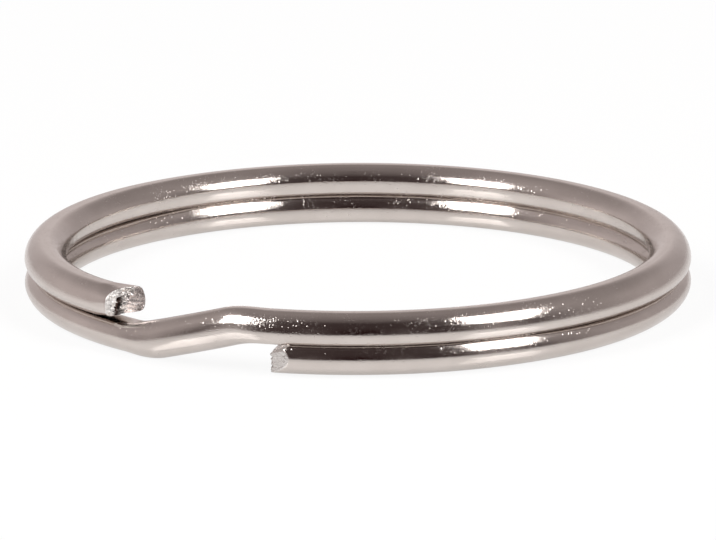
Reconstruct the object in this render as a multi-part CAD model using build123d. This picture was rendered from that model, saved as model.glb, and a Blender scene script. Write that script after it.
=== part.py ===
"""A split key ring: one length of spring wire, coiled into two turns that lie flat on each other.

The wire is drawn round and then pressed flat on top and underneath, where the two turns lie on each other.
Between its two tips only one wire passes, so the press leaves it nearly round there, and it crosses from the
upper turn down to the lower one. Keys go in under a tip and slide round until they hang on both turns.

Frame: +Z up, the origin on the ring's axis at the face that it lies on. A place along the wire is an angle
called turn, in degrees, measured clockwise from -Y as seen from above.
"""

import os
from math import cos, degrees, radians, sin, tan

from build123d import *

# Driving dimensions, in millimetres and degrees.
ring_diameter = 30.0  # over the outside of the turns
pressed_height = 1.375  # of the pressed wire, along the ring's axis
pressed_flat = 0.495  # width of the flat that the press leaves on top and underneath
crossing_height = 1.7  # of the nearly round wire of the crossing
crossing_flat = 0.04
coil_gap = 0.015  # between the two turns

crossing_start = 16.8  # turn at which the wire begins to leave the upper turn
bend_sweep = 6.5  # of turn, for each of the crossing's two bends
slope_sweep = 13.3  # of turn, for the straight slope between them
fade_sweep = 7.6  # of turn, for the pressed section to grow round
upper_tip_gap = 1.6  # of turn, from the crossing to the nearest point of the upper tip
lower_tip_gap = 0.6  # the same for the lower tip

upper_tip_bevel = 18.0  # that the upper tip's cut leans back on the outside
upper_tip_lean = 10.0  # that it leans back at the top
lower_tip_bevel = 23.0  # the same two at the lower tip
lower_tip_lean = 14.0
tip_lift = 0.09  # that the upper tip stands up off the lower turn
lift_sweep = 22.0  # of turn, for that lift to build up
flat_sweep = 5.0  # of turn, for the lower end, which lies flat

# How finely the lofted stretches follow their curves.
crossing_stations = 15
end_stations = 6
slope_step = 0.05  # of turn, over which a slope is measured
overrun = 2.0  # of turn, that a tip is made too long before it is cut

# Worked out from them.
pressed_width = pressed_flat + pressed_height
wire_radius = (ring_diameter - pressed_width) / 2
stack_height = 2 * pressed_height + coil_gap
upper_middle = stack_height - pressed_height / 2
lower_middle = pressed_height / 2
crossing_sweep = 2 * bend_sweep + slope_sweep
crossing_end = crossing_start + crossing_sweep
round_start = crossing_start - lower_tip_gap
round_end = crossing_end + upper_tip_gap


def bevel_reach(bevel):
    """How far, in turn, a bevelled cut's point on the inside reaches past the middle of the wire."""
    return degrees(pressed_width / 2 * tan(radians(bevel)) / wire_radius)


upper_tip = round_end + bevel_reach(upper_tip_bevel)
lower_tip = round_start - bevel_reach(lower_tip_bevel)


def radial(turn):
    """The direction outwards from the ring's axis."""
    return Vector(-sin(radians(turn)), -cos(radians(turn)), 0)


def forward(turn, slope=0.0):
    """The direction along the wire, away from the upper tip, on a slope of rise over run."""
    return Vector(-cos(radians(turn)), sin(radians(turn)), slope).normalized()


def section(turn, middle, slope=0.0, height=pressed_height, flat=pressed_flat):
    """The wire's outline across its own direction: flat top and bottom, and round sides."""
    centre = radial(turn) * wire_radius + Vector(0, 0, middle)
    across = Plane(centre, x_dir=radial(turn), z_dir=forward(turn, slope))
    return across * SlotCenterToCenter(flat, height)


def share_crossed(turn):
    """How much of the way down the crossing the wire has come: a bend, a straight slope and a second bend."""
    come = min(max(turn - crossing_start, 0), crossing_sweep)
    left = crossing_sweep - come
    drop = bend_sweep + slope_sweep
    if come < bend_sweep:
        return come**2 / (2 * bend_sweep * drop)
    if left < bend_sweep:
        return 1 - left**2 / (2 * bend_sweep * drop)
    return (come - bend_sweep / 2) / drop


def share_round(turn):
    """How far the section has grown from pressed to round: 0 beside both tips, 1 in the crossing's middle."""
    nearer_tip = min(turn - round_start, round_end - turn)
    grown = min(max(nearer_tip / fade_sweep, 0), 1)
    return grown * grown * (3 - 2 * grown)


def crossing_middle(turn):
    """The height of the wire's middle along the crossing."""
    return upper_middle + (lower_middle - upper_middle) * share_crossed(turn)


def crossing_section(turn):
    """The crossing's outline at a place along it."""
    fall = crossing_middle(turn + slope_step) - crossing_middle(turn - slope_step)
    slope = fall / (2 * radians(slope_step) * wire_radius)
    grown = share_round(turn)
    height = pressed_height + (crossing_height - pressed_height) * grown
    flat = pressed_flat + (crossing_flat - pressed_flat) * grown
    return section(turn, crossing_middle(turn), slope, height, flat)


def coil(first, last, middle):
    """A flat turn of pressed wire between two places."""
    return revolve(section(last, middle), Axis.Z, last - first)


def crossing():
    """The nearly round wire between the tips, with its foot pressed flat where the ring lies on it."""
    step = (round_end - round_start) / (crossing_stations - 1)
    wire = loft([crossing_section(round_start + step * i) for i in range(crossing_stations)])
    below = Cylinder(ring_diameter, stack_height, align=(Align.CENTER, Align.CENTER, Align.MAX))
    return wire - below


def wire_end(root, way, length, middle, lift):
    """The end of a turn, from its root along the wire (1) or back along it (-1), rising faster and faster."""
    outlines = []
    for i in range(end_stations):
        come = length * i / (end_stations - 1)
        rise = lift * (come / lift_sweep) ** 2
        slope = way * 2 * lift * come / lift_sweep**2 / (radians(1) * wire_radius)
        outlines.append(section(root + way * come, middle + rise, slope))
    return loft(outlines)


def cut_tip(wire, turn, middle, outwards, bevel, lean):
    """Shears the wire off at a tip, where outwards points past its end."""
    facing = outwards + radial(turn) * tan(radians(bevel)) + Vector(0, 0, tan(radians(lean)))
    cut = Plane(radial(turn) * wire_radius + Vector(0, 0, middle), z_dir=facing)
    size = 2 * pressed_width
    return wire - cut * Box(size, size, size, align=(Align.CENTER, Align.CENTER, Align.MIN))


def upper_end():
    """The end of the upper turn, which lifts towards its tip."""
    length = lift_sweep + bevel_reach(upper_tip_bevel) + overrun
    rough = wire_end(upper_tip + lift_sweep, -1, length, upper_middle, tip_lift)
    tip_middle = upper_middle + tip_lift
    return cut_tip(rough, upper_tip, tip_middle, -forward(upper_tip), upper_tip_bevel, upper_tip_lean)


def lower_end():
    """The end of the lower turn, which lies flat."""
    length = flat_sweep + bevel_reach(lower_tip_bevel) + overrun
    rough = wire_end(lower_tip - flat_sweep, 1, length, lower_middle, 0)
    return cut_tip(rough, lower_tip, lower_middle, forward(lower_tip), lower_tip_bevel, lower_tip_lean)


def upper_turn():
    """The upper turn, from its lifting end round to the crossing."""
    return coil(upper_tip + lift_sweep, 360 + round_start, upper_middle)


def lower_turn():
    """The lower turn, from the crossing round to its flat end."""
    return coil(round_end, 360 + lower_tip - flat_sweep, lower_middle)


def split_ring():
    """The whole ring, one piece of wire."""
    return upper_end() + upper_turn() + crossing() + lower_turn() + lower_end()


os.makedirs("parts", exist_ok=True)
export_step(split_ring(), "parts/split_ring.step")
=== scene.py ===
from math import cos, pi, radians, sin, tan

import bpy
import numpy as np
from mathutils import Matrix, Vector


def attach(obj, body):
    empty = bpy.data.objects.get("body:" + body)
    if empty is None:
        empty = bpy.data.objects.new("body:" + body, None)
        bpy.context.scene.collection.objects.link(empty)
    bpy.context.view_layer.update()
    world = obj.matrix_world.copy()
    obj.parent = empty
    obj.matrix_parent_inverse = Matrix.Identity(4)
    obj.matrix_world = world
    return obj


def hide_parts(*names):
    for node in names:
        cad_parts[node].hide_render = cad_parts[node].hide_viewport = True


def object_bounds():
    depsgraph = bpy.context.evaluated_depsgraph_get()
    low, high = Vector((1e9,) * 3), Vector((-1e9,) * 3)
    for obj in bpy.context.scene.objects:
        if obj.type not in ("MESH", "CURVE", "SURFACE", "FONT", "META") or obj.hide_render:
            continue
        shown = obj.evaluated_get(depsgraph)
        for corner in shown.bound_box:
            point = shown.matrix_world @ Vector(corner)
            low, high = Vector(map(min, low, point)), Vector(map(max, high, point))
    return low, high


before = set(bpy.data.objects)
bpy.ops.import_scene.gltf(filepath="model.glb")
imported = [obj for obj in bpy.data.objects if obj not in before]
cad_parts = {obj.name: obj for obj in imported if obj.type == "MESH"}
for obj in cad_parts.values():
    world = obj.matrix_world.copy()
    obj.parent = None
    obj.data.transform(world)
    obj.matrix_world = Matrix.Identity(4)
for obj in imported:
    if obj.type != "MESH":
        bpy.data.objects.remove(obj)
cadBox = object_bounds()
mm = 0.001  # metres in a millimetre

# The split ring is one wire: two flat turns, and a crossing between its two tips. "turn" is the place along
# it, in degrees clockwise from the front (-Y) seen from above: from the upper tip once round to the
# crossing, and once more round to the lower tip. Across the wire, places are counted from its middle: outward
# from the ring's axis (x on a tip's face) and up (z on it). Lengths are in millimetres up to the mesh.
ring = {
    "diameter": (cadBox[1][0] - cadBox[0][0]) / mm,  # over the turns
    "wireWidth": 1.87,
    "wireHeight": 1.379,
    "coilGap": 0.004,  # the turns touch
    "roundHeight": 1.7,  # nearly round wire of the crossing
    "roundWidth": 1.74,
    "crossingStart": 16.8,
    "bendSweep": 6.5,
    "slopeSweep": 13.3,
    "fadeSweep": 7.6,  # of turn, for the pressed wire to grow round
    "upperTipGap": 1.6,
    "lowerTipGap": 0.6,
    "upperTipSlant": 18.0,  # that a tip's face leans back on the outside, which makes its bore side reach on
    "lowerTipSlant": 23.0,
    "tipLift": 0.09,
    "liftSweep": 22.0,
    "squareSweep": 5.0,  # of turn, over which the shears have squeezed a tip's outline
    "slopeStep": 0.02,  # of turn, over which the wire's slope is measured
    "turnStep": 1.8,
    "crossingStep": 0.35,
    "endStep": 0.2,  # finer mesh close to a tip
    "endSweep": 8.0,
    "normalStep": 3.0,
    "flatPoints": 6,
    "capRings": 76,
    "faceReach": 0.7,  # from a face's rim to its middle
    "rollFrom": (0.1, 0.6),  # outward places where the rim's rolling grows from rimRadius to rollRadius
    "reliefFrom": (0.0, 0.05),  # from the rim in, where the torn relief begins and is complete
}
wireRadius = (ring["diameter"] - ring["wireWidth"]) / 2
perTurn = np.degrees(1 / wireRadius)  # degrees of turn in a millimetre along the wire
pitch = ring["wireHeight"] + ring["coilGap"]
crossingSweep = 2 * ring["bendSweep"] + ring["slopeSweep"]
crossingEnd = ring["crossingStart"] + crossingSweep
roundStart = ring["crossingStart"] - ring["lowerTipGap"]
roundEnd = crossingEnd + ring["upperTipGap"]
upperTipTurn = roundEnd + ring["wireWidth"] / 2 * tan(radians(ring["upperTipSlant"])) * perTurn
lowerTipTurn = 720 + roundStart - ring["wireWidth"] / 2 * tan(radians(ring["lowerTipSlant"])) * perTurn

# Each side of the wire's outline runs in arcs from the top flat (90) down to the underside (-90). The first
# row gives the elevation of the normal where each arc begins and ends, and the second row the arcs' radii.
sides = {
    "upperOuter": ((90, 60, 22, 7, -18, -45, -90), (0.9, 0.93, 0.88, 0.56, 0.86, 0.10)),
    "upperOuterRight": ((90, 60, 22, 7, -18, -45, -90), (0.7, 1.10, 1.05, 0.48, 0.56, 0.26)),
    "upperOuterLeft": ((90, 60, 22, 7, -18, -45, -90), (0.6, 0.947, 1.0, 0.5, 0.66, 0.36)),
    "upperBore": ((90, 60, 40, 22, 5, -18, -45, -90), (0.7, 1.42, 0.66, 0.2, 0.88, 0.90, 0.10)),
    "upperBoreLeft": ((90, 60, 40, 22, 5, -18, -45, -90), (0.7, 1.42, 0.66, 0.2, 0.88, 0.66, 0.36)),
    "lowerOuter": ((90, 45, 22, -18, -90), (0.10, 1.04, 0.53, 0.926)),
    "lowerOuterOpen": ((90, 45, 22, -18, -90), (0.70, 0.70, 0.53, 0.926)),
    "lowerBore": ((90, 46, 37, 20, 5, -18, -90), (0.10, 2.2, 0.72, 0.45, 0.80, 0.68)),
    "lowerBoreOpen": ((90, 55, 37, -18, -90), (0.80, 0.90, 0.62, 0.738)),
    "upperTipOuter": ((90, 60, 25, -20, -90), (1.5, 0.60, 0.75, 0.40)),
    "upperTipBore": ((90, 20, -20, -90), (0.42, 1.33, 0.36)),
    "lowerTipBore": ((90, 8, -8, -90), (0.50, 2.7, 0.22)),
    "round": ((90, -90), (0.85,)),
}
# Where along a turn an outline other than the usual one is seen: it grows between the first two places, and
# is gone again between the last two.
stretches = {
    "left": (30, 60, 125, 150),
    "right": (240, 290, 296, 356),
    "openLeft": (25, 30, 125, 150),  # the crease between the turns is open to the side
    "openRight": (230, 280, 312, 336),
}


def smoothStep(low, high, x):
    # 0 at low, 1 at high, and t * t * (3 - 2 t) between them; low may be the greater one
    t = np.clip((x - low) / (high - low), 0, 1)
    return t * t * (3 - 2 * t)


def blend(plain, other, share):
    # from plain at 0 to other at 1
    return plain + (other - plain) * share


def sideCurve(name, height):
    # One side of the outline as (reach, up) points, one for each normal angle n. Each arc adds
    # radius * (cos n - cos of its start) to the reach and takes radius * (sin of its start - sin n) off the
    # height. The reach is counted from the widest point, and the radii are scaled to fill the height.
    stops, radii = np.radians(sides[name][0]), np.array(sides[name][1])
    radii = radii * height / (radii @ -np.diff(np.sin(stops)))
    normal = np.radians(np.arange(90, -90.1, -ring["normalStep"]))
    reached = np.clip(normal, stops[1:, None], stops[:-1, None])
    reach = radii @ (np.cos(reached) - np.cos(stops[:-1, None]))
    up = height / 2 - radii @ (np.sin(stops[:-1, None]) - np.sin(reached))
    return reach - reach.max(), up


def outline(outer, bore, height=ring["wireHeight"], width=ring["wireWidth"]):
    # The wire's whole outline as (outward, up) points: up the bore side, over the top flat, down the outer
    # side and back along the underside. Outlines share their normal angles, so they blend point by point.
    outerReach, outerUp = sideCurve(outer, height)
    boreReach, boreUp = sideCurve(bore, height)
    outerX, boreX = width / 2 + outerReach, -width / 2 - boreReach
    across = np.linspace(0, 1, ring["flatPoints"] + 2)[1:-1]
    top = blend(boreX[0], outerX[0], across)
    under = blend(outerX[-1], boreX[-1], across)
    flat = np.full(len(across), height / 2)
    outward = np.concatenate([boreX[::-1], top, outerX, under])
    return np.stack([outward, np.concatenate([boreUp[::-1], flat, outerUp, -flat])])


# Each tip is sheared by flat cuts, of which the one that leaves the least metal counts at every point. A cut
# is given as its reach along the wire past the tip's named place, and the angles by which it leans back
# outwards and upwards. The rim is rolled over by rimRadius, and by rollRadius on the outer side. A spot is a
# bead or a chip: its outward place, its place up, its radius and its depth, where a bead's is less than 0.
upperTip = {
    "cuts": ((0.0, 16.0, 6.0), (0.55, 30.0, -40.0)),
    "rimRadius": 0.025,
    "rollRadius": 0.07,
    "height": 1.12,  # squeezed by the shears
    "rise": 0.05,
    "burrDrop": 0.09,  # that the shears dragged the lower outer side down
    "burrFrom": (0.25, 0.45),  # outward places where that begins and is complete
    "rolledFrom": (0.28, 0.40),
    "rolledLean": 0.12,  # outward for each millimetre up
    "rolledRagged": 0.10,
    "brokenFrom": (-0.20, 0.04),
    "brokenLean": 0.55,
    "brokenRagged": 0.20,
    "grooveTop": (0.22, 0.14),
    "grooveFoot": (0.42, -0.38),
    "grooveReach": (0.13, 0.07),  # from its middle line, where the groove ends and is at its deepest
    "grooveRagged": 0.13,
    "grooveSpread": 0.06,  # that it is wider at its foot
    "grooveDepth": 0.22,
    "coarseGrain": 0.060,
    "coarseBumps": 0.03,
    "fineGrain": 0.085,
    "fineSpan": (0.2, 0.55),  # values of a noise, between which the fine grain comes in
    "striationDepth": 0.032,
    "striationLean": 0.55,
    "striationBow": 0.35,
    "striationFade": 0.2,  # how fast a striation changes along itself
    "beadPlace": (0.62, -0.34),  # of a bead with a raised ring round it
    "beadRing": 0.10,
    "beadRingWidth": 0.035,
    "beadRise": 0.07,
    "spots": ((0.62, -0.34, 0.04, -0.05), (-0.79, -0.36, 0.05, -0.07), (-0.31, 0.36, 0.07, 0.06)),
}
lowerTip = {
    "cuts": ((0.116, 0.0, 0.0), (0.741, 58.0, 0.0), (0.60, 8.0, 62.0), (0.86, 0.0, -52.0)),
    "rimRadius": 0.02,
    "rollRadius": 0.025,
    "brokenShare": 0.3,
    "speckDepth": 0.03,
    "speckSpan": (0.25, 0.6),  # values of a noise, between which the specks come in
    "grainDepth": 0.006,
    "spots": (
        (0.36, 0.18, 0.05, -0.05), (0.74, 0.40, 0.06, -0.05), (0.75, -0.32, 0.05, -0.05),
        (0.37, 0.06, 0.05, 0.10), (0.37, -0.14, 0.05, 0.10), (0.37, -0.33, 0.05, 0.10),
    ),
}


def squeezedOutline():
    # the upper tip's outline: flattened and raised, and dragged down low on its outer side
    outward, up = outline("upperTipOuter", "upperTipBore", upperTip["height"])
    up = up + upperTip["rise"]
    dragged = smoothStep(*upperTip["burrFrom"], outward) * (up < 0)
    return np.stack([outward, up - upperTip["burrDrop"] * dragged])


outlines = {
    "upper": outline("upperOuter", "upperBore"),
    "upperLeft": outline("upperOuterLeft", "upperBoreLeft"),
    "upperRight": outline("upperOuterRight", "upperBore"),
    "upperTip": squeezedOutline(),
    "round": outline("round", "round", ring["roundHeight"], ring["roundWidth"]),
    "lower": outline("lowerOuter", "lowerBore"),
    "lowerOpen": outline("lowerOuterOpen", "lowerBoreOpen"),
    "lowerTip": outline("lowerOuter", "lowerTipBore"),
}


def crossedShare(turn):
    # 0 on the upper turn and 1 on the lower one: a parabola, a straight slope and a second parabola
    bend, slope = ring["bendSweep"], ring["slopeSweep"]
    come = np.clip(turn - 360 - ring["crossingStart"], 0, crossingSweep)
    left = crossingSweep - come
    drop = bend + slope
    straight = (come - bend / 2) / drop
    ending = np.where(left < bend, 1 - left**2 / (2 * bend * drop), straight)
    return np.where(come < bend, come**2 / (2 * bend * drop), ending)


def middleHeight(turn):
    # of the wire's middle line: the lower turn's, plus the pitch above it, plus the lift by the square of its
    # share
    lift = np.clip((upperTipTurn + ring["liftSweep"] - turn) / ring["liftSweep"], 0, None)
    return ring["wireHeight"] / 2 + pitch * (1 - crossedShare(turn)) + ring["tipLift"] * lift**2


def roundShare(turn):
    # 1 where the wire is nearly round: grown by a smooth step from each tip inwards
    place = turn - 360
    fade = ring["fadeSweep"]
    shrunk = smoothStep(roundEnd - fade, roundEnd, place)
    return smoothStep(roundStart, roundStart + fade, place) * (1 - shrunk)


def stretchShare(name, place):
    # 1 within a stretch of the turn, with a smooth step before it and another one after it
    begins, grown, fades, gone = stretches[name]
    return smoothStep(begins, grown, place) * smoothStep(gone, fades, place)


def wirePoint(turn, outward, up):
    # A point of the wire: the middle line's place, plus outward along the radius, plus up across the wire,
    # where up leans with the line's slope.
    t = np.radians(turn)
    step = ring["slopeStep"]
    slope = (middleHeight(turn + step) - middleHeight(turn - step)) / (2 * np.radians(step) * wireRadius)
    length = np.sqrt(1 + slope**2)
    radius = wireRadius + outward
    x = -np.sin(t) * radius + up * slope * np.cos(t) / length
    y = -np.cos(t) * radius - up * slope * np.sin(t) / length
    z = middleHeight(turn) + up / length
    return np.stack([x, y, np.maximum(z, 0)], axis=-1)


latticeSize = 64  # squares along each side, after which a tip's noise and its grains repeat


def latticeNoise(x, z, cell, seed):
    # smooth noise from 0 to 1: random values on a square lattice, blended by a smooth step along each side
    values = np.random.default_rng(seed).random((latticeSize, latticeSize))
    i, j = np.floor(x / cell).astype(int), np.floor(z / cell).astype(int)
    u, v = smoothStep(0, 1, x / cell - i), smoothStep(0, 1, z / cell - j)
    i, j = i % (latticeSize - 1), j % (latticeSize - 1)
    low = values[i, j] * (1 - u) + values[i + 1, j] * u
    high = values[i, j + 1] * (1 - u) + values[i + 1, j + 1] * u
    return low * (1 - v) + high * v


def crystals(x, z, cell, seed):
    # broken grains: each point takes the height and tilt of the nearest of the scattered grain middles
    rng = np.random.default_rng(seed)
    offsets = rng.random((latticeSize, latticeSize, 2))
    tilts = rng.uniform(-1, 1, (latticeSize, latticeSize, 3))
    i, j = np.floor(x / cell).astype(int), np.floor(z / cell).astype(int)
    nearest, height = np.full(x.shape, 1e9), np.zeros(x.shape)
    for di in (-1, 0, 1):
        for dj in (-1, 0, 1):
            a, b = (i + di) % latticeSize, (j + dj) % latticeSize
            dx = x / cell - (i + di + offsets[a, b, 0])
            dz = z / cell - (j + dj + offsets[a, b, 1])
            distance = dx**2 + dz**2
            tilt = tilts[a, b]
            grain = tilt[..., 0] * 0.6 + tilt[..., 1] * dx + tilt[..., 2] * dz
            height = np.where(distance < nearest, grain, height)
            nearest = np.minimum(distance, nearest)
    return height


def segmentDistance(x, z, start, end):
    # distance from a straight stretch, and the share come along it
    dx, dz = end[0] - start[0], end[1] - start[1]
    come = np.clip(((x - start[0]) * dx + (z - start[1]) * dz) / (dx * dx + dz * dz), 0, 1)
    return np.hypot(x - start[0] - come * dx, z - start[1] - come * dz), come


def spotDepths(tip, x, z):
    # each spot adds its depth * exp(-(distance from its middle / its radius) squared)
    depths = 0.0
    for outward, up, radius, depth in tip["spots"]:
        depths = depths + depth * np.exp(-((x - outward) ** 2 + (z - up) ** 2) / radius**2)
    return depths


def cutReach(tip, x, z):
    # how far the sheared end stands out along the wire: the least of its cuts' reaches
    cuts = tip["cuts"]
    reaches = [reach - x * tan(radians(bevel)) - z * tan(radians(lean)) for reach, bevel, lean in cuts]
    return np.minimum.reduce(reaches)


def upperZones(x, z):
    # Shares of the upper tip's face: rolled on the outer side, broken in the middle (and smooth towards the
    # bore), and the torn groove, whose share also paints shade dark into the plate's colour. Each zone's edge
    # leans, and noise makes it ragged.
    tip = upperTip
    rolledNoise = tip["rolledRagged"] * (latticeNoise(x, z, cell=0.12, seed=3) - 0.5)
    rolled = smoothStep(*tip["rolledFrom"], x + tip["rolledLean"] * z + rolledNoise)
    brokenNoise = tip["brokenRagged"] * (latticeNoise(x, z, cell=0.15, seed=4) - 0.5)
    broken = smoothStep(*tip["brokenFrom"], x + tip["brokenLean"] * z + brokenNoise)
    away, come = segmentDistance(x, z, tip["grooveTop"], tip["grooveFoot"])
    grooveNoise = tip["grooveRagged"] * (latticeNoise(x, z, cell=0.09, seed=9) - 0.5)
    shadedGroove = smoothStep(*tip["grooveReach"], away + grooveNoise - tip["grooveSpread"] * come)
    return rolled, broken, shadedGroove


def upperRelief(x, z):
    # Depth of the upper tip's torn face: bowed striations where it is smooth, tilted grains where it is
    # broken, a deep groove, coarse grains on the rolled outer side, and a bead in its ring.
    tip = upperTip
    rolled, broken, shadedGroove = upperZones(x, z)
    coarse = tip["coarseGrain"] * crystals(x, z, cell=0.12, seed=5)
    coarse = coarse + tip["coarseBumps"] * (latticeNoise(x, z, cell=0.06, seed=6) - 0.5)
    fine = tip["fineGrain"] * crystals(x, z, cell=0.09, seed=7)
    fine = fine * smoothStep(*tip["fineSpan"], latticeNoise(x, z, cell=0.17, seed=10))
    bowed = z - tip["striationLean"] * x - tip["striationBow"] * x * x
    lengthwise = tip["striationFade"] * x
    striations = tip["striationDepth"] * (latticeNoise(bowed, lengthwise, cell=0.09, seed=8) - 0.5)
    fromBead = np.hypot(x - tip["beadPlace"][0], z - tip["beadPlace"][1])
    bead = -tip["beadRise"] * np.exp(-(((fromBead - tip["beadRing"]) / tip["beadRingWidth"]) ** 2))
    skin = rolled * coarse + (1 - rolled) * broken * fine + (1 - broken) * striations
    return skin + tip["grooveDepth"] * shadedGroove + bead + spotDepths(tip, x, z)


def lowerRelief(x, z):
    # depth of the lower tip's face: a nearly smooth shear with fine specks, beads and a few chipped places
    tip = lowerTip
    specks = tip["speckDepth"] * crystals(x, z, cell=0.09, seed=15)
    specks = specks * smoothStep(*tip["speckSpan"], latticeNoise(x, z, cell=0.2, seed=16))
    grain = tip["grainDepth"] * (latticeNoise(x, z, cell=0.05, seed=17) - 0.5)
    return specks + spotDepths(tip, x, z) + grain


def tipReach(tip, relief, x, z, inwards):
    # Where the tip's surface lies along the wire: its cuts, less a quarter-round rim, less the relief.
    # inwards runs from 0 at the rim to 1 in the middle of the face.
    depth = inwards * ring["faceReach"]
    rim = blend(tip["rimRadius"], tip["rollRadius"], smoothStep(*ring["rollFrom"], x))
    rounding = rim - np.sqrt(np.maximum(rim**2 - np.maximum(rim - depth, 0) ** 2, 0))
    inside = smoothStep(*ring["reliefFrom"], depth)
    return cutReach(tip, x, z) - rounding - relief(x, z) * inside


def wireOutlines(along):
    # The outline at each place: the upper turn's turns into the lower turn's down the crossing, both grow
    # round between the tips, and the shears change it at both tips.
    shape = {name: points[:, None] for name, points in outlines.items()}
    place = along[:, None] % 360
    opened = np.maximum(stretchShare("openLeft", place), stretchShare("openRight", place))
    upperEnd = smoothStep(ring["squareSweep"], 0, along - upperTipTurn)[:, None]
    lowerEnd = smoothStep(ring["squareSweep"], 0, lowerTipTurn - along)[:, None]
    upper = blend(shape["upper"], shape["upperRight"], stretchShare("right", place))
    upper = blend(upper, shape["upperLeft"], stretchShare("left", place))
    upper = blend(upper, shape["upperTip"], upperEnd)
    lower = blend(shape["lower"], shape["lowerOpen"], opened)
    lower = blend(lower, shape["lowerTip"], lowerEnd)
    pressed = blend(upper, lower, crossedShare(along)[:, None])
    return blend(pressed, shape["round"], roundShare(along)[:, None])


def tipFace(rimX, rimZ, tip, relief, place, way):
    # rings of a tip's face from its rim in, at shares of the rim's own outline, and the pole in its middle
    inwards = np.linspace(0, 1, ring["capRings"] + 1)[1:-1, None]
    faceX, faceZ = rimX * (1 - inwards), rimZ * (1 - inwards)
    reach = tipReach(tip, relief, faceX, faceZ, np.broadcast_to(inwards, faceX.shape))
    middle = tipReach(tip, relief, np.zeros(1), np.zeros(1), np.ones(1))
    rings = wirePoint(place + way * reach * perTurn, faceX, faceZ)
    pole = wirePoint(place + way * middle * perTurn, np.zeros(1), np.zeros(1))
    return rings, pole, faceX, faceZ


def ringPlaces():
    # where along the wire the mesh has its rings: close together at both tips and down the crossing
    endStep, endSweep = ring["endStep"], ring["endSweep"]
    first = np.arange(upperTipTurn, upperTipTurn + endSweep, endStep)
    last = np.arange(lowerTipTurn, lowerTipTurn - endSweep, -endStep)[::-1]
    crossing = np.arange(360 + roundStart, 360 + roundEnd, ring["crossingStep"])
    upper = np.linspace(first[-1], crossing[0], int((crossing[0] - first[-1]) / ring["turnStep"]))[1:-1]
    lower = np.linspace(crossing[-1], last[0], int((last[0] - crossing[-1]) / ring["turnStep"]))[1:-1]
    return np.concatenate([first, upper, crossing, lower, last])


def wireSurface():
    # The whole skin as one grid: rings of the upper tip's face from its middle out, rings along the wire,
    # and rings of the lower tip's face in again. A ring near a tip leans over to meet the sheared rim.
    along = ringPlaces()
    x, z = wireOutlines(along)
    turn = np.broadcast_to(along[:, None], x.shape).copy()
    rim = np.zeros(x.shape[1])
    fromUpper = np.clip(1 - (along - upperTipTurn) / ring["endSweep"], 0, 1)[:, None]
    fromLower = np.clip(1 - (lowerTipTurn - along) / ring["endSweep"], 0, 1)[:, None]
    turn -= fromUpper * tipReach(upperTip, upperRelief, x[0], z[0], rim) * perTurn
    turn += fromLower * tipReach(lowerTip, lowerRelief, x[-1], z[-1], rim) * perTurn
    side = wirePoint(turn, x, z)
    upperRings, upperPole, faceX, faceZ = tipFace(x[0], z[0], upperTip, upperRelief, upperTipTurn, -1)
    lowerRings, lowerPole, *_ = tipFace(x[-1], z[-1], lowerTip, lowerRelief, lowerTipTurn, 1)
    grid = np.concatenate([upperRings[::-1], side, lowerRings])
    arc = np.pad((along - upperTipTurn) / perTurn, (len(upperRings), len(lowerRings)), "edge")

    # shares of the grid that the plate's finish follows: the upper face's own, none along the wire, and one
    # share for the whole lower face
    def mark(upperShare, lowerShare):
        return np.concatenate([upperShare[::-1], np.zeros(x.shape), np.full(faceX.shape, lowerShare)])

    rolled, broken, shadedGroove = upperZones(faceX, faceZ)
    marks = {
        "torn": mark(np.ones(faceX.shape), 1.0),
        "broken": mark(np.maximum(rolled, broken), lowerTip["brokenShare"]),
        "rolled": mark(rolled, 0.0),
        # the groove's share darkens the plate's colour there: painted shade in the crack
        "shadedGroove": mark(shadedGroove, 0.0),
        "sheared": mark(1 - np.maximum(rolled, broken), 0.0),
    }
    return grid, upperPole, lowerPole, marks, arc


def mapWire(mesh, arc):
    # the wire's own map: millimetres along it and millimetres round it, on every corner of every face
    columns = outlines["upper"].shape[1]
    girth = np.hypot(*np.diff(np.column_stack([outlines["upper"], outlines["upper"][:, 0]])))
    around = np.concatenate([[0], np.cumsum(girth)])
    row = np.arange(len(arc) - 1)[:, None] + np.zeros(columns, int)
    column = np.zeros((len(arc) - 1, 1), int) + np.arange(columns)
    u = np.stack([arc[row], arc[row + 1], arc[row + 1], arc[row]], axis=-1).reshape(-1)
    near, far = around[column], around[column + 1]
    v = np.stack([near, near, far, far], axis=-1).reshape(-1)
    fans = 3 * columns  # corners of the triangles round a tip's pole
    u = np.concatenate([u, np.full(fans, arc[0]), np.full(fans, arc[-1])])
    v = np.concatenate([v, np.zeros(2 * fans)])
    mesh.uv_layers.new(name="alongWire").data.foreach_set("uv", np.stack([u, v], axis=-1).ravel())


def meshVolume(mesh):
    # a sixth of the sum, over all triangles, of one corner times the cross product of the other two
    mesh.calc_loop_triangles()
    corners = np.zeros(len(mesh.loop_triangles) * 3, int)
    mesh.loop_triangles.foreach_get("vertices", corners)
    places = np.zeros(len(mesh.vertices) * 3)
    mesh.vertices.foreach_get("co", places)
    a, b, c = places.reshape(-1, 3)[corners.reshape(-1, 3)].transpose(1, 0, 2)
    return np.einsum("ij,ij->", a, np.cross(b, c)) / 6


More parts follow.
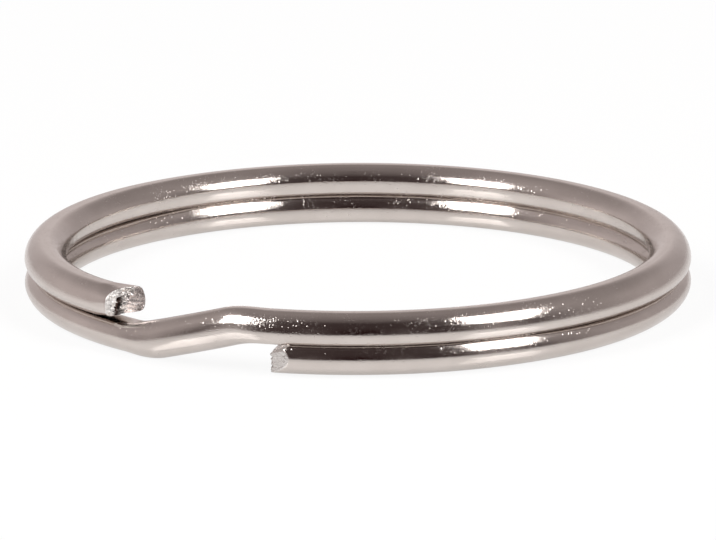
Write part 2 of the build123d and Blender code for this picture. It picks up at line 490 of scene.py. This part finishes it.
def makeRing():
    grid, upperPole, lowerPole, marks, arc = wireSurface()
    rows, columns = grid.shape[:2]
    points = np.concatenate([upperPole, grid.reshape(-1, 3), lowerPole]) * mm
    index = 1 + np.arange(rows * columns).reshape(rows, columns)
    after = np.roll(index, -1, axis=1)
    quads = np.stack([index[:-1], index[1:], after[1:], after[:-1]], axis=-1).reshape(-1, 4)
    firstFan = np.stack([np.zeros(columns, int), index[0], after[0]], axis=-1)
    lastFan = np.stack([np.full(columns, len(points) - 1), after[-1], index[-1]], axis=-1)
    mesh = bpy.data.meshes.new("splitRing")
    mesh.from_pydata(points.tolist(), [], quads.tolist() + firstFan.tolist() + lastFan.tolist())
    mesh.polygons.foreach_set("use_smooth", np.ones(len(mesh.polygons), bool))
    mapWire(mesh, arc)
    for name, values in marks.items():
        values = np.concatenate([values[0, :1], values.ravel(), values[-1, :1]])
        mesh.attributes.new(name, "FLOAT", "POINT").data.foreach_set("value", values)
    mesh.update()
    mesh.validate()
    piece = bpy.data.objects.new("ringWire", mesh)
    bpy.context.scene.collection.objects.link(piece)
    volume = round(meshVolume(mesh) / mm**3, 1)
    print("ring wire:", len(mesh.vertices), "vertices,", len(mesh.polygons), "faces, volume", volume, "mm3")
    return piece


# The plate's colours, its roughness and the depths of its marks. A cell is the size of a pattern's patches,
# and a span is the pair of pattern values between which what it names comes in. Lengths are in millimetres.
nickel = {
    "colour": (0.62, 0.565, 0.53),
    "paleColour": (0.655, 0.60, 0.565),
    "tornColour": (0.66, 0.63, 0.61),
    "shearedColour": (0.54, 0.50, 0.49),
    "rolledColour": (0.90, 0.88, 0.86),
    # painted shade: the near-black brown that fills the torn groove on the upper tip's face
    "shadedGrooveColour": (0.10, 0.065, 0.055),
    "paleCell": 1.4,
    "paleSpan": (0.3, 0.7),
    "roughness": 0.105,
    "tornRoughness": 0.24,
    "rolledRoughness": 0.48,
    "lineRoughness": 0.05,  # more than the plate's, along the drawing lines
    "patchRoughness": 0.12,  # more than the plate's, in small patches
    "patchCell": 0.12,
    "patchSpan": (0.5, 0.68),
    "patchesElsewhere": 0.25,  # share of the patches that shows outside the grainy areas
    "linewise": 0.35,  # how much further the drawing lines scatter light across the wire than along it
    "lineCells": (0.6, 15.0),  # in a millimetre along the wire, and in one round it
    "lineSpan": (0.35, 0.75),
    "lineDepth": 0.0007,
    "waveCell": 1.8,
    "waveDepth": 0.003,
    "grainyCell": 1.3,  # of the areas where the plate is grainy and has more pits
    "grainySpan": (0.42, 0.62),
    "grainCell": 0.09,
    "grainDepth": 0.0035,
    "grainElsewhere": 0.4,  # share of the grain that shows outside the grainy areas
    "pitSpacing": 0.13,
    "pitSpan": (0.32, 0.05),  # from a pit's rim to its floor, as shares of the spacing
    "pitChoice": (0.60, 0.95),
    "pitLuck": 0.5,  # that a grainy area adds to a cell's chance of a pit
    "pitDepth": 0.006,
    "crumbCell": 0.05,
    "crumbDepth": 0.010,  # of the torn faces' crumbs
}


def node(tree, kind, inputs=None, **settings):
    made = tree.nodes.new(kind)
    for name, value in settings.items():
        setattr(made, name, value)
    for name, value in (inputs or {}).items():
        if isinstance(value, bpy.types.NodeSocket):
            tree.links.new(value, made.inputs[name])
        else:
            made.inputs[name].default_value = value
    return made


def mathNode(tree, operation, a, b=0.0):
    return node(tree, "ShaderNodeMath", {0: a, 1: b}, operation=operation).outputs[0]


def smoothNode(tree, value, span):
    # 0 at the span's first value and 1 at its second, by a smooth step
    inputs = {"Value": value, "From Min": span[0], "From Max": span[1]}
    return node(tree, "ShaderNodeMapRange", inputs, interpolation_type="SMOOTHSTEP").outputs[0]


def mixNode(tree, share, a, b):
    return node(tree, "ShaderNodeMix", {0: share, 6: a, 7: b}, data_type="RGBA").outputs[2]


def bumpNode(tree, height, depth, below=None):
    inputs = {"Strength": 1.0, "Distance": depth * mm, "Height": height}
    if below:
        inputs["Normal"] = below
    return node(tree, "ShaderNodeBump", inputs).outputs[0]


def noiseNode(tree, place, cell, detail):
    inputs = {"Vector": place, "Scale": 1 / cell, "Detail": detail}
    return node(tree, "ShaderNodeTexNoise", inputs).outputs["Fac"]


def drawingLines(tree):
    # noise on the wire's own map, stretched along the wire
    onWire = node(tree, "ShaderNodeUVMap", uv_map="alongWire").outputs["UV"]
    stretch = (*nickel["lineCells"], 1.0)
    cells = node(tree, "ShaderNodeVectorMath", {0: onWire, 1: stretch}, operation="MULTIPLY").outputs[0]
    return noiseNode(tree, cells, 1.0, 3.0)


def platePits(tree, place, grainy):
    # only some cells of a fine pattern are deep enough to show, and more of them where the plate is grainy
    cells = node(tree, "ShaderNodeTexVoronoi", {"Vector": place, "Scale": 1 / (nickel["pitSpacing"] * mm)})
    luck = node(tree, "ShaderNodeSeparateColor", {"Color": cells.outputs["Color"]}).outputs[0]
    luck = mathNode(tree, "ADD", luck, mathNode(tree, "MULTIPLY", grainy, nickel["pitLuck"]))
    chosen = smoothNode(tree, luck, nickel["pitChoice"])
    return mathNode(tree, "MULTIPLY", smoothNode(tree, cells.outputs["Distance"], nickel["pitSpan"]), chosen)


def nickelPlate():
    material = bpy.data.materials.new("nickelPlate")
    material.use_nodes = True
    tree = material.node_tree
    shader = tree.nodes["Principled BSDF"]
    shader.inputs["Metallic"].default_value = 1.0
    place = node(tree, "ShaderNodeTexCoord").outputs["Object"]
    names = ("torn", "broken", "rolled", "shadedGroove", "sheared")
    marks = (node(tree, "ShaderNodeAttribute", attribute_name=name) for name in names)
    torn, broken, rolled, shadedGroove, sheared = (mark.outputs["Fac"] for mark in marks)
    lines = drawingLines(tree)
    grainy = smoothNode(tree, noiseNode(tree, place, nickel["grainyCell"] * mm, 2.0), nickel["grainySpan"])
    patches = smoothNode(tree, noiseNode(tree, place, nickel["patchCell"] * mm, 2.0), nickel["patchSpan"])
    patchShare = mathNode(tree, "ADD", nickel["patchesElsewhere"], grainy)
    patches = mathNode(tree, "MULTIPLY", patches, patchShare)
    pits = platePits(tree, place, grainy)

    normal = bumpNode(tree, noiseNode(tree, place, nickel["waveCell"] * mm, 1.0), nickel["waveDepth"])
    normal = bumpNode(tree, lines, nickel["lineDepth"], normal)
    grain = noiseNode(tree, place, nickel["grainCell"] * mm, 2.0)
    grain = mathNode(tree, "MULTIPLY", grain, mathNode(tree, "ADD", nickel["grainElsewhere"], grainy))
    normal = bumpNode(tree, grain, nickel["grainDepth"], normal)
    normal = bumpNode(tree, pits, -nickel["pitDepth"], normal)
    crumbScale = 1 / (nickel["crumbCell"] * mm)
    crumbs = node(tree, "ShaderNodeTexVoronoi", {"Vector": place, "Scale": crumbScale}).outputs["Distance"]
    normal = bumpNode(tree, mathNode(tree, "MULTIPLY", crumbs, broken), nickel["crumbDepth"], normal)
    tree.links.new(normal, shader.inputs["Normal"])

    colour = (*nickel["colour"], 1)
    pale = smoothNode(tree, noiseNode(tree, place, nickel["paleCell"] * mm, 3.0), nickel["paleSpan"])
    # the groove's coat is painted shade, which darkens the crack
    coats = {"pale": pale, "torn": torn, "sheared": sheared, "rolled": rolled, "shadedGroove": shadedGroove}
    for name, share in coats.items():
        colour = mixNode(tree, share, colour, (*nickel[name + "Colour"], 1))
    tree.links.new(colour, shader.inputs["Base Color"])

    rough = nickel["roughness"]
    roughened = (
        (smoothNode(tree, lines, nickel["lineSpan"]), nickel["lineRoughness"]),
        (patches, nickel["patchRoughness"]),
        (torn, nickel["tornRoughness"] - nickel["roughness"]),
        (rolled, nickel["rolledRoughness"] - nickel["tornRoughness"]),
    )
    for share, more in roughened:
        rough = mathNode(tree, "ADD", rough, mathNode(tree, "MULTIPLY", share, more))
    tree.links.new(rough, shader.inputs["Roughness"])

    tangent = node(tree, "ShaderNodeTangent", direction_type="UV_MAP", uv_map="alongWire").outputs[0]
    tree.links.new(tangent, shader.inputs["Tangent"])
    whole = mathNode(tree, "SUBTRACT", 1.0, torn)
    tree.links.new(mathNode(tree, "MULTIPLY", whole, nickel["linewise"]), shader.inputs["Anisotropic"])
    shader.inputs["Anisotropic Rotation"].default_value = 0.25  # a quarter turn
    print("nickel plate:", len(tree.nodes), "shader nodes")
    return material


# The studio: lengths in metres, angles in degrees.
studio = {
    "floorRadius": 30.0,
    "floorWhite": 0.97,
    "floorSeenWhite": 0.90,  # share of the floor's white that the camera sees without shade
    "floorMirroredWhite": 0.55,  # the same for the metal's reflections
    "floorPolish": 0.06,  # roughness of the floor's faint polish, in which the metal sees the lamps again
    "floorIndex": 1.62,  # refractive index of the polish
    "lampDistance": 0.45,
    "lampLow": (54.0, 32.0),  # azimuth to the side of the camera, and elevation, of the lamp's lower end
    "lampHigh": (73.5, 57.5),
    "lampHalfWidth": 0.175,  # as a share of the distance
    "lampHalfLength": 0.33,
    "lampRadiance": 8.0,
    "lampColour": (1.0, 0.99, 0.98),
    "overheadPlace": (0.0, 0.1, 1.1),
    "overheadSize": 1.4,
    "overheadPower": 0.15,
}


def makeFloor():
    count = 96
    angle = np.linspace(0, 2 * pi, count, endpoint=False)
    rim = np.stack([np.cos(angle), np.sin(angle), np.zeros(count)], axis=-1) * studio["floorRadius"]
    mesh = bpy.data.meshes.new("floor")
    mesh.from_pydata(rim.tolist(), [], [list(range(count))])
    mesh.materials.append(whiteFloor())
    floor = bpy.data.objects.new("floor", mesh)
    bpy.context.scene.collection.objects.link(floor)


def whiteFloor():
    # Shaded white paper, lit up by a share of plain white for the camera and for the metal, which also sees
    # a faint polish on it.
    material = bpy.data.materials.new("whiteFloor")
    material.use_nodes = True
    tree = material.node_tree
    tree.nodes.remove(tree.nodes["Principled BSDF"])
    white = studio["floorWhite"]
    diffuse = node(tree, "ShaderNodeBsdfDiffuse", {"Color": (white, white, white, 1)}).outputs[0]
    glow = node(tree, "ShaderNodeEmission", {"Color": (1, 1, 1, 1), "Strength": 1.0}).outputs[0]
    path = node(tree, "ShaderNodeLightPath").outputs
    mirrored = mathNode(tree, "MAXIMUM", path["Is Glossy Ray"], path["Is Transmission Ray"])
    mirrored = mathNode(tree, "MULTIPLY", mirrored, studio["floorMirroredWhite"])
    seen = mathNode(tree, "MULTIPLY", path["Is Camera Ray"], studio["floorSeenWhite"])
    share = mathNode(tree, "MAXIMUM", seen, mirrored)
    paper = node(tree, "ShaderNodeMixShader", {0: share, 1: diffuse, 2: glow}).outputs[0]
    polishInputs = {"Color": (1, 1, 1, 1), "Roughness": studio["floorPolish"]}
    polish = node(tree, "ShaderNodeBsdfGlossy", polishInputs).outputs[0]
    fresnel = node(tree, "ShaderNodeFresnel", {"IOR": studio["floorIndex"]}).outputs[0]
    fresnel = mathNode(tree, "MULTIPLY", fresnel, path["Is Glossy Ray"])
    polished = node(tree, "ShaderNodeMixShader", {0: fresnel, 1: paper, 2: polish}).outputs[0]
    tree.links.new(polished, tree.nodes["Material Output"].inputs["Surface"])
    return material


def direction(azimuth, elevation):
    # unit vector: azimuth 0 is towards the camera (-Y), and +90 towards +X
    a, e = radians(azimuth), radians(elevation)
    return Vector((sin(a) * cos(e), -cos(a) * cos(e), sin(e)))


def placed(right, up, back, place):
    # an object's place and turn, from its own three directions
    return Matrix.Translation(place) @ Matrix((right, up, back)).transposed().to_4x4()


def makeLamp(side):
    # a softbox that faces the ring, with its long side from the lower end's direction to the upper end's
    azimuthLow, elevationLow = studio["lampLow"]
    azimuthHigh, elevationHigh = studio["lampHigh"]
    low, high = direction(side * azimuthLow, elevationLow), direction(side * azimuthHigh, elevationHigh)
    distance = studio["lampDistance"]
    middle = (low + high).normalized()
    longAxis = (high - low).normalized()
    width, length = 2 * studio["lampHalfWidth"] * distance, 2 * studio["lampHalfLength"] * distance
    light = bpy.data.lights.new("softbox", "AREA")
    light.shape, light.size, light.size_y = "RECTANGLE", width, length
    light.energy = studio["lampRadiance"] * pi * width * length
    light.color = studio["lampColour"]
    lamp = bpy.data.objects.new("softbox", light)
    lamp.matrix_world = placed(longAxis.cross(middle), longAxis, middle, middle * distance)
    lamp.visible_camera = False
    bpy.context.scene.collection.objects.link(lamp)


def makeOverhead():
    # a large weak lamp that only softens the shade on the floor
    light = bpy.data.lights.new("overhead", "AREA")
    light.shape, light.size = "SQUARE", studio["overheadSize"]
    light.energy = studio["overheadPower"] * pi * light.size**2 / 2
    lamp = bpy.data.objects.new("overhead", light)
    lamp.location = studio["overheadPlace"]
    lamp.visible_camera = False
    lamp.visible_glossy = False
    bpy.context.scene.collection.objects.link(lamp)


# How bright the room is, by the azimuth away from the camera's side: just above the floor, half-way up, and
# overhead.
room = {
    "low": (
        (0, 0.002), (6, 0.02), (16, 0.09), (23, 0.04), (33, 0.06), (41, 0.20), (47, 0.34), (56, 0.22),
        (63, 0.12), (70, 0.20), (80, 0.31), (95, 0.43), (112, 0.52), (150, 0.46), (165, 0.54), (180, 0.66),
    ),
    "middle": ((0, 0.038), (40, 0.055), (75, 0.24), (95, 0.38), (120, 0.36), (150, 0.31), (180, 0.28)),
    "high": ((0, 0.14), (90, 0.20), (180, 0.23)),
    "middleFrom": (15, 40),  # elevations between which the low band gives way to the middle one
    "highFrom": (58, 82),
    "leftwards": 0.16,  # how much brighter the far left is than the middle, and darker the far right
    "redShare": 1.08,  # of a shade's green, and the same for its blue
    "blueShare": 0.985,
    "redAdded": 0.014,  # to every shade, which shows most in the dark ones
}


def roomBand(tree, stops, share):
    # a colour ramp over azimuth; the darker a shade is, the browner
    shades = node(tree, "ShaderNodeValToRGB", {"Fac": share})
    elements = shades.color_ramp.elements
    while len(elements) < len(stops):
        elements.new(0.5)
    for element, (azimuth, level) in zip(elements, stops):
        element.position = azimuth / 180
        red = level * room["redShare"] + room["redAdded"]
        element.color = (red, level, level * room["blueShare"], 1)
    return shades.outputs["Color"]


def makeWorld():
    world = bpy.data.worlds.new("studioRoom")
    bpy.context.scene.world = world
    world.use_nodes = True
    tree = world.node_tree
    background = tree.nodes["Background"]
    towards = node(tree, "ShaderNodeTexCoord").outputs["Generated"]
    axes = node(tree, "ShaderNodeSeparateXYZ", {0: towards}).outputs
    sideways = mathNode(tree, "ABSOLUTE", axes["X"])
    azimuth = mathNode(tree, "ARCTAN2", sideways, mathNode(tree, "MULTIPLY", axes["Y"], -1.0))
    share = mathNode(tree, "DIVIDE", azimuth, pi)
    elevation = mathNode(tree, "MULTIPLY", mathNode(tree, "ARCSINE", axes["Z"]), 180 / pi)
    low, middle, high = (roomBand(tree, room[name], share) for name in ("low", "middle", "high"))
    colour = mixNode(tree, smoothNode(tree, elevation, room["middleFrom"]), low, middle)
    colour = mixNode(tree, smoothNode(tree, elevation, room["highFrom"]), colour, high)
    tree.links.new(colour, background.inputs["Color"])
    leftwards = mathNode(tree, "MULTIPLY", axes["X"], -room["leftwards"])
    tree.links.new(mathNode(tree, "ADD", leftwards, 1.0), background.inputs["Strength"])


# The camera: lengths in millimetres, angles in degrees.
camera = {
    "distance": 285.0,
    "elevation": 14.247,
    "lens": 317.6,
    "sensorWidth": 36.0,
    "aim": (0.003, 0.0, 1.1),
    "roll": -0.1787,
    "nearest": 10.0,
    "furthest": 100000.0,
}


def makeCamera():
    data = bpy.data.cameras.new("camera")
    data.sensor_width, data.lens = camera["sensorWidth"], camera["lens"]
    data.clip_start, data.clip_end = camera["nearest"] * mm, camera["furthest"] * mm
    place = direction(0, camera["elevation"]) * camera["distance"] * mm
    back = (place - Vector(camera["aim"]) * mm).normalized()
    right = Vector((0, 0, 1)).cross(back).normalized()
    up = back.cross(right)
    roll = radians(camera["roll"])
    right, up = right * cos(roll) + up * sin(roll), up * cos(roll) - right * sin(roll)
    made = bpy.data.objects.new("camera", data)
    made.matrix_world = placed(right, up, back, place)
    bpy.context.scene.collection.objects.link(made)
    bpy.context.scene.camera = made


wire = makeRing()
wire.data.materials.append(nickelPlate())
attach(wire, "root")
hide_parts("split_ring")
makeFloor()
for side in (-1, 1):
    makeLamp(side)
makeOverhead()
makeWorld()
makeCamera()
bpy.context.scene.view_settings.view_transform = "Standard"
print("studio: floor, two softboxes, overhead light, room and camera")
